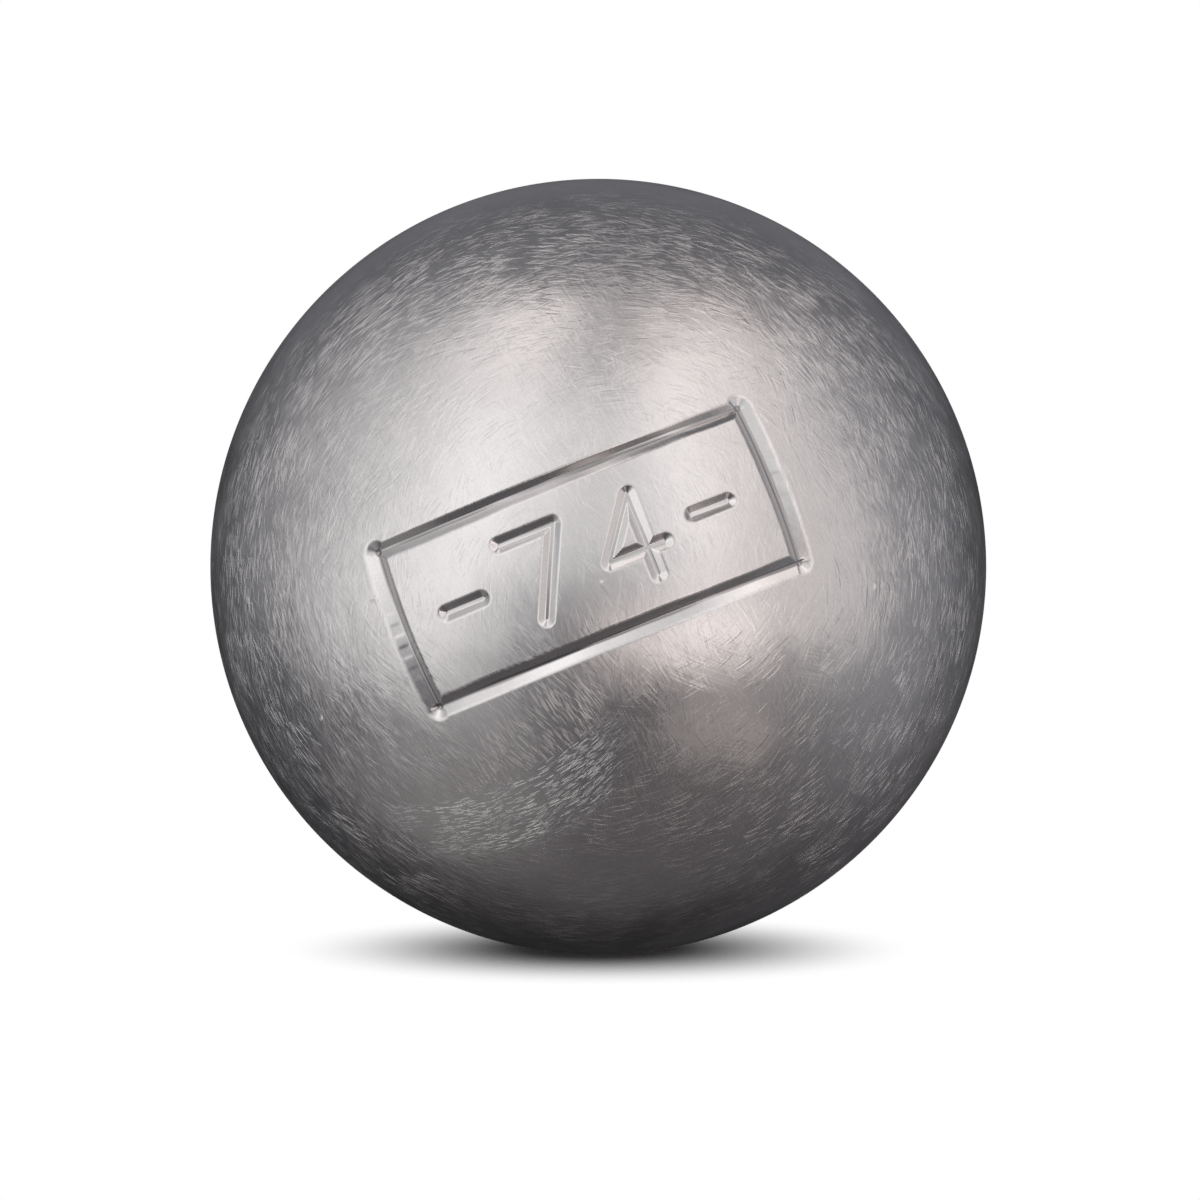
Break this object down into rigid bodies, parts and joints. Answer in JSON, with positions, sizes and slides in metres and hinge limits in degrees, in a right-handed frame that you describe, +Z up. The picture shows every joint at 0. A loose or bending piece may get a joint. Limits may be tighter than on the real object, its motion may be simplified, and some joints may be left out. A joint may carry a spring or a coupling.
{
  "type": "petanque boule",
  "caption": "Hollow brushed steel ball for throwing, made of half shells joined by a ground weld, with an engraved frame.",
  "frame": {"origin": "centre of the ball", "axes": "+Z up; -Y front, where the engraved frame is; +X to the right seen from the front; the weld lies in the XZ plane"},
  "size_m": [0.074, 0.074, 0.074],
  "materials": {
    "brushed_steel_shell": "satin, brushed in short random strokes",
    "ground_weld": "ground flush and brushed"
  },
  "bodies": {
    "root": {"front_half_shell": "brushed_steel_shell", "rear_half_shell": "brushed_steel_shell", "weld_bead": "ground_weld"}
  },
  "joints": []
}
